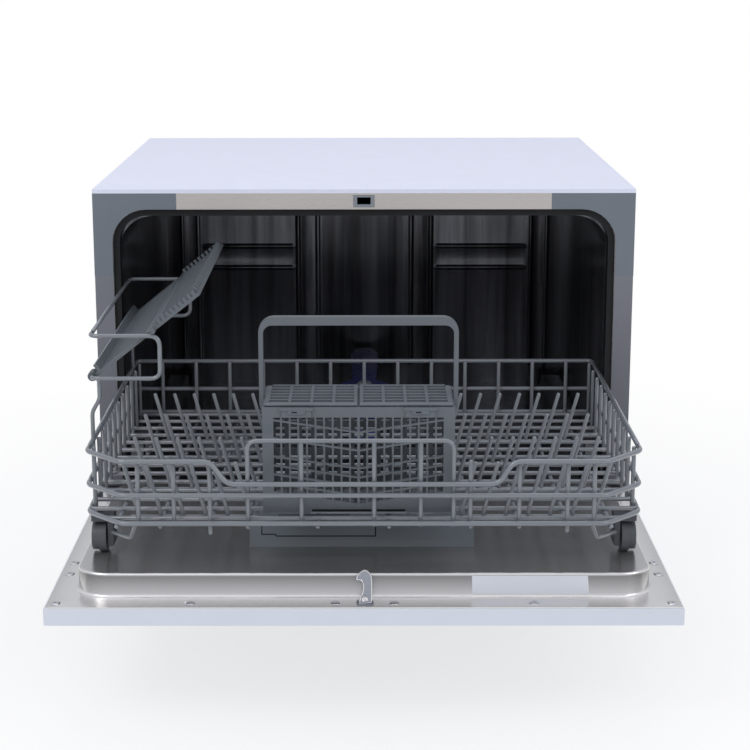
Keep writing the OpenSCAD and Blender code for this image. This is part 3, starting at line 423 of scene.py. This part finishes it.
floor_wires = []
for y in CROSS_Y:
    x = FLOOR_X if y < FLOOR_EDGE else RING_X
    floor_wires.append(rod((-x, y, CROSS_Z), (x, y, CROSS_Z)))
low_z = CROSS_Z - 3.6
floor_wires += [rod((x, RACK_FRONT + 1, low_z), (x, RACK_BACK - 1, low_z)) for x in LONG_X]
floor_wires += [([(s * x, y, z) for x, y, z in WHEEL_WIRE], ROD_R, 9) for s in (-1, 1)]
wires("rack_floor_wires", "rack_floor", floor_wires)

for s, word in ((-1, "left"), (1, "right")):
    x = s * (RING_X - 4)
    wires("rack_%s_wires" % word, "rack_%s_wall" % word,
          [rod((s * RING_X, RACK_CORNER + 13, z), (s * RING_X, RACK_BACK - 13, z), WIRE_R)
           for z in RINGS] + [rod((x, y, RING_LOW - 3), (x, y, RING_TOP - 1)) for y in SIDE_Y])

rear = [([(-RING_X, RACK_BACK - 14, z), (-RING_X, RACK_BACK, z), (RING_X, RACK_BACK, z),
          (RING_X, RACK_BACK - 14, z)], WIRE_R, 9) for z in RINGS]
for i in range(13):
    x = -RING_X + 28 + i * (2 * RING_X - 56) / 12
    rear.append(rod((x, RACK_BACK - 4, RING_LOW - 3), (x, RACK_BACK - 4, RING_TOP - 1)))
wires("rack_rear_wires", "rack_rear_wall", rear)

for s, word, first, count in TINE_ROWS:
    paths = []
    last = first + (count - 1) * TINE_PITCH
    for y in TINE_Y:
        paths.append(rod((s * (first - 6), y, CROSS_Z), (s * (last + 6), y, CROSS_Z)))
        for i in range(count):
            x = first + i * TINE_PITCH
            paths.append(([(s * x, y, CROSS_Z - 1), (s * (x + TINE_LEAN * 0.04), y, CROSS_Z + 5),
                           (s * (x + TINE_LEAN), y, CROSS_Z + TINE_H - 1)], ROD_R - 0.15, 20))
    wires("tine_wires_" + word, "tines_" + word, paths)

frames = []
for y, s in ((LOOP_FRONT, 1), (LOOP_BACK, -1)):
    turn, post_y = y + s * 16, y + s * 0.2
    frames.append(([(-RING_X, turn, LOOP_TOP), (-RING_X, y, LOOP_TOP), (LOOP_X, y, LOOP_TOP),
                    (LOOP_X, y, SHELF_Z), (-RING_X, y, SHELF_Z), (-RING_X, turn, SHELF_Z)],
                   ROD_R, 9))
    frames.append(([(7 - RING_X, post_y, SHELF_Z + 1), (7 - RING_X, post_y, SHELF_Z - 19),
                    (-RING_X, post_y, SHELF_Z - 31), (-RING_X, post_y, RING_LOW - 1)],
                   ROD_R - 0.1, 14))
frames += [rod((-RING_X, LOOP_FRONT + 14, z), (-RING_X, LOOP_BACK - 14, z))
           for z in (SHELF_Z, LOOP_TOP)]
wires("shelf_wires", "shelf_bracket", frames)


# Tub: the rear wall with its pressed beads
def bead(u, centres, half=4.0, depth=2.0):
    """How far a pressed bead stands out at u, with beads at the given centres."""
    return max([depth * (0.5 + 0.5 * math.cos(math.pi * min(1, abs(u - c) / half)))
                for c in centres])


def gate(u, a, b, soft=6.0):
    """1 between a and b, 0 outside, with a soft step at both."""
    return max(0, min(1, (u - a) / soft + 0.5, (b - u) / soft + 0.5))


def grid_lines(a, b, centres, ends=()):
    """Places of the mesh's lines from a to b, close together where a bead runs or ends."""
    us = {a, b}
    for c in centres:
        us.update(c + d for d in (-4, -3, -2, -1, 0, 1, 2, 3, 4))
    for e in ends:
        us.update(e + d for d in (-3, -1.5, 0, 1.5, 3))
    return sorted(us)


UPRIGHT = [s * x for s in (-1, 1) for x in (231, 211, 84, 59)]
UPRIGHT_Z = (TUB_FLOOR + 24, TUB_TOP - 14)
LEVEL = (TUB_TOP - 130, TUB_TOP - 102.5)
LEVEL_X = (91, 203)
xs = grid_lines(-TUB_HALF, TUB_HALF, UPRIGHT, [s * x for s in (-1, 1) for x in LEVEL_X])
zs = grid_lines(TUB_FLOOR, TUB_TOP, LEVEL, UPRIGHT_Z)


def wall_point(x, z):
    """A point of the rear wall's front face, with its beads."""
    out = max(bead(x, UPRIGHT) * gate(z, *UPRIGHT_Z), bead(z, LEVEL) * gate(abs(x), *LEVEL_X))
    return L(x, TUB_BACK - out, z)


bm = bmesh.new()
grid = [[bm.verts.new(wall_point(x, z)) for x in xs] for z in zs]
back = [[bm.verts.new(L(x, TUB_BACK + SHEET, z)) for x in (-TUB_HALF, TUB_HALF)]
        for z in (TUB_FLOOR, TUB_TOP)]
for ra, rb in zip(grid, grid[1:]):
    for k in range(len(xs) - 1):
        bm.faces.new((ra[k], ra[k + 1], rb[k + 1], rb[k]))
bm.faces.new((back[0][0], back[1][0], back[1][1], back[0][1]))
bm.faces.new(grid[0][::-1] + back[0])
bm.faces.new(grid[-1] + back[1][::-1])
bm.faces.new([r[0] for r in grid] + [back[1][0], back[0][0]])
bm.faces.new([r[-1] for r in reversed(grid)] + [back[0][1], back[1][1]])
finish_mesh("tub_rear_sheet", bm, MAT["tub_steel"], "cabinet", ("tub_rear_wall",))


# Cutlery basket: slotted lids, clips just below their front edges, and a dark strip of painted
# shade in place of the slot under the lattice
def plate(name, xs, ys, hole, at, body, slot, node):
    """A flat moulding with openings: a grid of cells, of which hole(i, j) leaves some out."""
    bm = bmesh.new()
    vs = {}

    def vert(i, j, up):
        if (i, j, up) not in vs:
            vs[i, j, up] = bm.verts.new(L(*at(xs[i], ys[j], up)))
        return vs[i, j, up]

    def solid(i, j):
        return 0 <= i < len(xs) - 1 and 0 <= j < len(ys) - 1 and not hole(i, j)

    for i in range(len(xs) - 1):
        for j in range(len(ys) - 1):
            if not solid(i, j):
                continue
            ring4 = ((i, j), (i + 1, j), (i + 1, j + 1), (i, j + 1))
            bm.faces.new([vert(a, b, 1) for a, b in ring4])
            bm.faces.new([vert(a, b, 0) for a, b in reversed(ring4)])
            edges = zip(ring4, ring4[1:] + ring4[:1])
            for (a, b), near in zip(edges, ((0, -1), (1, 0), (0, 1), (-1, 0))):
                if not solid(i + near[0], j + near[1]):
                    bm.faces.new((vert(*a, 0), vert(*b, 0), vert(*b, 1), vert(*a, 1)))
    o = finish_mesh(name, bm, MAT[slot], body, (node,), 30)
    m = o.modifiers.new("edge", "BEVEL")
    m.width, m.segments, m.limit_method = 0.0003, 1, "ANGLE"
    m.use_clamp_overlap = True


def slot_cell(i, j):
    """Whether a cell of the lid's grid is one of its slots."""
    return i % 2 == 1 and j % 2 == 0 and j > 0


lid_xs = [1] + [4 + i * 19.2 + e for i in range(4) for e in (0, 16.4)] + [LID_END]
lid_ys = [0.8, 1.9] + [6 + k * 10 + e for k in range(6) for e in (0, 7)] + [LID_BACK]
# the gap row is a dark plate of painted shade in the clip's opening
CLIP = (("bar", (-14.5, 14.5), (-2.7, -1.6), (93.2, 95.9), MAT["basket_grey"], 0.25),
        ("tab", (-7.5, 7.5), (-3.0, -1.6), (90.0, 93.8), MAT["basket_grey"], 0.25),
        ("painted_shade_gap", (-4.2, 0.6), (-3.1, -1.6), (91.4, 92.6), SEAM_AND_SHADE, 0.05))
for s, word in ((-1, "left"), (1, "right")):
    def lid_point(x, y, up, s=s):
        """The lid's grid point, with its outer back corner cut and its front edge thinned."""
        if x == LID_END and y == LID_BACK:
            x, y = 77, 63.4
        z = (LID_T if up else 0.0) if y > 1 else (2.1 if up else 0.9)
        return (BASKET_X + s * x, BASKET_Y + y, LID_Z + z)
    plate("basket_slotted_lid_" + word, lid_xs, lid_ys, slot_cell, lid_point, "lid_" + word,
          SLOT["basket_lid_left"], "basket_lid_" + word)
    cx = BASKET_X + s * CLIP_X
    for tag, x, y, z, mat, edge in CLIP:
        slab("basket_clip_%s_%s" % (tag, word), [cx + v for v in x], [BASKET_Y + v for v in y],
             [BASKET_LOW + v for v in z], mat, "rack", edge)
# painted shade: a dark strip stands in for the slot under the lattice
slab("basket_slot_shadow", (BASKET_X - 41, BASKET_X + 41), (BASKET_Y - 0.15, BASKET_Y + 0.6),
     (BASKET_LOW + 0.9, BASKET_LOW + 3.0), SEAM_AND_SHADE, "rack", 0.05)
slab("basket_slot_sill", (BASKET_X - 42, BASKET_X + 42), (BASKET_Y - 0.5, BASKET_Y + 0.6),
     (BASKET_LOW - 0.8, BASKET_LOW + 0.9), MAT["cap_grey"], "rack", 0.2)


# Door: the pressed steel panel with its raised field
def outline(grow, z, lean=0.0, steps=14):
    """The raised field's outline, grown sideways and with its front moved back, in millimetres."""
    r = PAN_R + grow
    pts = []
    ex, back, front = PAN_HALF - PAN_R, PAN_BACK - PAN_R, PAN_FRONT + PAN_R
    for cx, cy, a0 in ((ex, back, 0), (-ex, back, 90), (-ex, front, 180), (ex, front, 270)):
        for i in range(steps + 1):
            a = math.radians(a0 + 90 * i / steps)
            y = cy + r * math.sin(a)
            shift = (lean if a0 > 90 else 0) * max(0, -math.sin(a)) ** 0.7
            pts.append((cx + r * math.cos(a), y + shift, z))
    return pts


def band(bm, loops):
    """Joins closed loops of as many points by faces, and gives back their vertices."""
    vs = [[bm.verts.new(L(*p)) for p in loop] for loop in loops]
    for a, b in zip(vs, vs[1:]):
        for k in range(len(a)):
            bm.faces.new((a[k], a[(k + 1) % len(a)], b[(k + 1) % len(a)], b[k]))
    return vs


def square_out(p):
    """The flange's edge point that faces a point of the field's outline."""
    x, y, _ = p
    ex, front, back = HALF_W - 1.2, 1.2 - DOOR_REACH, -3.0
    behind = y > PAN_SPLIT
    cx = math.copysign(PAN_HALF - PAN_R, x)
    cy = PAN_BACK - PAN_R if behind else PAN_FRONT + PAN_R
    dx, dy = abs(x - cx), abs(y - cy)
    ey = back if behind else front
    if dx >= dy - 1e-6:
        return (math.copysign(ex, x), cy + (ey - cy) * min(1, dy / max(dx, 1e-6)), FLANGE_Z)
    return (cx + (math.copysign(ex, x) - cx) * dx / dy, ey, FLANGE_Z)


bm = bmesh.new()
LOW_R, TOP_R = 2.4, 2.0
flange_edge = [square_out(p) for p in outline(LOW_R, 0)]
loops = [[(x, y, FLANGE_Z - SHEET) for x, y, _ in flange_edge],
         [(x, y, FLANGE_Z - 0.3) for x, y, _ in flange_edge],
         [(x * 0.9989, y, FLANGE_Z) for x, y, _ in flange_edge]]
loops.append(outline(LOW_R + 0.6, FLANGE_Z))
wall_top, wall_low = PAN_Z - TOP_R, FLANGE_Z + LOW_R
for i in range(7):
    a = math.radians(15 * i)
    loops.append(outline(LOW_R * (1 - math.sin(a)), FLANGE_Z + LOW_R * (1 - math.cos(a))))
for i in range(7):
    a = math.radians(15 * i)
    loops.append(outline(TOP_R * (math.cos(a) - 1), wall_top + TOP_R * math.sin(a), PAN_SLOPE))
loops.append(outline(-TOP_R - 1.2, PAN_Z, PAN_SLOPE))
vs = band(bm, loops)
bm.faces.new(vs[-1])
finish_mesh("door_pressed_panel", bm, PAN_STEEL_PAINTED_REFLECTION, "cabinet", ("door_inner_panel",),
            70)


# Screws with a low head and a cross recess
def screw(name, x, y, z, r=4.5):
    """A screw whose head rests on a sheet at height z."""
    bm = bmesh.new()
    profile = [(1.0, -0.2), (1.0, 0.3), (0.94, 0.5), (0.78, 0.66), (0.6, 0.74), (0.5, 0.76)]
    turns = [2 * math.pi * k / 24 for k in range(24)]
    loops = [[(x + r * q * math.cos(a), y + r * q * math.sin(a), z + h) for a in turns]
             for q, h in profile]
    cross = [r * (0.48 if k % 6 in (0, 1, 5) else 0.16) for k in range(24)]
    for depth in (0.74, 0.1):
        loops.append([(x + q * math.cos(a), y + q * math.sin(a), z + depth)
                      for q, a in zip(cross, turns)])
    vs = band(bm, loops)
    bm.faces.new(vs[-1])
    finish_mesh(name, bm, BRIGHT, "cabinet", (), 35)


SCREWS = [(-266.5, -329), (-150.2, -328), (-25, -328), (26, -328), (147, -328), (266.5, -329),
          (-265.8, -257.5), (-266.3, -229), (265.8, -259), (266.3, -230), (-266, -111), (266, -111)]
for i, (x, y) in enumerate(SCREWS):
    screw("panel_screw_%02d" % (i + 1), x, y, FLANGE_Z)


# The bare place on the field's sloping front wall
def on_wall(z, out):
    """Depth of a point that stands out from that wall, at height z."""
    return PAN_FRONT - out + PAN_SLOPE * (z - wall_low) / (wall_top - wall_low)


bm = bmesh.new()
loops = []
for out, e in ((-0.3, 0), (0.2, 0), (0.3, 0.15)):
    (x0, x1), (z0, z1) = (PLATE_X[0] + e, PLATE_X[1] - e), (PLATE_Z[0] + e, PLATE_Z[1] - e)
    loops.append([(x, on_wall(z, out), z) for x, z in ((x0, z0), (x1, z0), (x1, z1), (x0, z1))])
vs = band(bm, loops)
bm.faces.new(vs[-1])
finish_mesh("rating_place", bm, PLATE, "cabinet")

# The seam of the detergent lid, on the dispenser's sloping front
bm = bmesh.new()
tube(bm, [(x, DISP_Y + 2 + (z - 148) * 9 / 17, z) for x, z in SEAM_LINE], 0.5, 0.4, 8)
finish_mesh("lid_seam", bm, SEAM_AND_SHADE, "cabinet")

# Thin bright bead where the opening's steel edge turns in behind the seal
bead_path = []
ex, low, high = OPEN_HALF - OPEN_R, SILL_Z + OPEN_R, OPEN_TOP - OPEN_R
for cx, cz, a0 in ((ex, low, -90), (ex, high, 0), (-ex, high, 90), (-ex, low, 180)):
    for i in range(9):
        a = math.radians(a0 + 90 * i / 8)
        bead_path.append((cx + (OPEN_R + 0.2) * math.cos(a), 3.0,
                          cz + (OPEN_R + 0.2) * math.sin(a)))
bm = bmesh.new()
tube(bm, bead_path[4:] + bead_path[:5], 0.7, 0.5, 8)
finish_mesh("opening_bead", bm, MAT["strip_steel"], "cabinet")


# Latch hook: a plate with rolled edges on a small foot
def hook_outline():
    """The hook's side, with its corners rounded, in millimetres above the flange."""
    raw = [(-4.6, 0), (6.6, 0), (6.6, 8), (6.8, 20), (6.4, 26.5), (3.8, 30.4), (0.4, 31.4),
           (-3.0, 29.6), (-6.0, 25.4), (-6.0, 23.0), (-4.4, 23.4), (-1.6, 22.4), (0.0, 18.6),
           (-0.6, 12), (-3.2, 5)]
    pts = []
    for i, p in enumerate(raw):
        a, b, c = Vector(raw[i - 1]), Vector(p), Vector(raw[(i + 1) % len(raw)])
        for t in (0.0, 0.5, 1.0):
            s, e = b.lerp(a, 0.3), b.lerp(c, 0.3)
            pts.append(s.lerp(b, t).lerp(b.lerp(e, t), t))
    return pts


hook_y = 7 - DOOR_REACH
bm = bmesh.new()
flat = hook_outline()
mid = Vector((1, 14))
loops = []
for out, grow in ((1.9, -0.5), (2.3, 0), (0.5, 0), (0.1, -0.4), (0.35, -1.5)):
    inward = [(mid - p).normalized() * -grow for p in flat]
    loops.append([(p.x + d.x, hook_y + out, FLANGE_Z + p.y + d.y) for p, d in zip(flat, inward)])
vs = band(bm, loops)
bm.faces.new(vs[0])
bm.faces.new(vs[-1])
finish_mesh("latch_hook_plate", bm, MAT["hook_steel"], "cabinet", ("latch_hook",), 50)
slab("latch_foot", (-6.4, 8.4), (hook_y - 0.5, hook_y + 8.5), (FLANGE_Z, FLANGE_Z + 1.6),
     MAT["hook_steel"], edge=0.6)
bm = bmesh.new()
rim = [(p.x, hook_y + 0.2, FLANGE_Z + p.y) for p in flat if p.y > 1]
tube(bm, rim, 0.55, 0.3, 8)
finish_mesh("latch_hook_rim", bm, BRIGHT, "cabinet")
bm = bmesh.new()
turns = [2 * math.pi * k / 20 for k in range(20)]
loops = []
for r, out in ((2.6, 0.3), (2.6, -0.5), (2.2, -0.8), (1.2, -0.8), (1.1, -0.2)):
    loops.append([(1 + r * math.cos(a), hook_y + out, FLANGE_Z + 5.5 + r * math.sin(a))
                  for a in turns])
vs = band(bm, loops)
bm.faces.new(vs[-1])
finish_mesh("latch_rivet", bm, BRIGHT, "cabinet")


# Stage: a pale floor that keeps the object's shadow and fades into the white behind
def math_node(nt, operation, a, b):
    """The result of one Math node between two outputs."""
    n = nt.nodes.new("ShaderNodeMath")
    n.operation = operation
    nt.links.new(a, n.inputs[0])
    nt.links.new(b, n.inputs[1])
    return n.outputs[0]


m, nt, b = new_mat("floor")
b.inputs["Roughness"].default_value = 0.65
nt.links.new(ramp(nt, noise(nt, coords(nt), 3, 3), (0.84, 0.84, 0.85), (0.87, 0.87, 0.88)),
             b.inputs["Base Color"])
glow = nt.nodes.new("ShaderNodeEmission")
glow.inputs["Color"].default_value = (1, 1, 1, 1)
glow.inputs["Strength"].default_value = 1.0
far = nt.nodes.new("ShaderNodeVectorMath")
far.operation = "LENGTH"
nt.links.new(coords(nt), far.inputs[0])
fade = span(nt, far.outputs["Value"], 0.72, 1.0, 0.35, 1.0)
path = nt.nodes.new("ShaderNodeLightPath")
seen = math_node(nt, "MAXIMUM", path.outputs["Is Camera Ray"], path.outputs["Is Glossy Ray"])
seen = math_node(nt, "MAXIMUM", seen, path.outputs["Is Transmission Ray"])
mixf = nt.nodes.new("ShaderNodeMixShader")
nt.links.new(math_node(nt, "MULTIPLY", seen, fade), mixf.inputs["Fac"])
nt.links.new(b.outputs["BSDF"], mixf.inputs[1])
nt.links.new(glow.outputs["Emission"], mixf.inputs[2])
nt.links.new(mixf.outputs["Shader"], nt.nodes["Material Output"].inputs["Surface"])
me = bpy.data.meshes.new("floor")
bm = bmesh.new()
bmesh.ops.create_grid(bm, x_segments=1, y_segments=1, size=6)
bm.to_mesh(me)
bm.free()
floor = bpy.data.objects.new("floor", me)
scene.collection.objects.link(floor)
me.materials.append(m)

# World: soft light, paler above than in front, and plain white where the camera sees it
world = bpy.data.worlds.new("world")
scene.world = world
world.use_nodes = True
wn = world.node_tree
bg = wn.nodes["Background"]
tc = wn.nodes.new("ShaderNodeTexCoord")
sep = wn.nodes.new("ShaderNodeSeparateXYZ")
wn.links.new(tc.outputs["Generated"], sep.inputs["Vector"])
tone = wn.nodes.new("ShaderNodeValToRGB")
tone.color_ramp.elements[0].position = 0.0
tone.color_ramp.elements[0].color = (0.50, 0.51, 0.53, 1)
tone.color_ramp.elements[1].position = 0.55
tone.color_ramp.elements[1].color = (0.92, 0.94, 1.0, 1)
wn.links.new(sep.outputs["Z"], tone.inputs["Fac"])
wn.links.new(tone.outputs["Color"], bg.inputs["Color"])
bg.inputs["Strength"].default_value = 0.85
white = wn.nodes.new("ShaderNodeBackground")
white.inputs["Color"].default_value = (1, 1, 1, 1)
white.inputs["Strength"].default_value = 1.0
lp = wn.nodes.new("ShaderNodeLightPath")
mixs = wn.nodes.new("ShaderNodeMixShader")
wn.links.new(lp.outputs["Is Camera Ray"], mixs.inputs["Fac"])
wn.links.new(bg.outputs["Background"], mixs.inputs[1])
wn.links.new(white.outputs["Background"], mixs.inputs[2])
wn.links.new(mixs.outputs["Shader"], wn.nodes["World Output"].inputs["Surface"])


def area(name, loc, target, size, power):
    """A lamp at loc that faces target."""
    d = bpy.data.lights.new(name, "AREA")
    d.energy = power
    d.shape = "RECTANGLE"
    d.size, d.size_y = size
    o = bpy.data.objects.new(name, d)
    scene.collection.objects.link(o)
    o.location = loc
    o.rotation_euler = (Vector(target) - Vector(loc)).to_track_quat("-Z", "Y").to_euler()


area("key", (-1.6, -1.9, 2.2), (0, 0, 0.25), (1.3, 0.9), 22)
area("fill", (1.9, -1.6, 1.6), (0, 0, 0.25), (1.2, 1.2), 11)
area("top", (0, 0.2, 2.4), (0, 0, 0.2), (2.0, 1.2), 7)
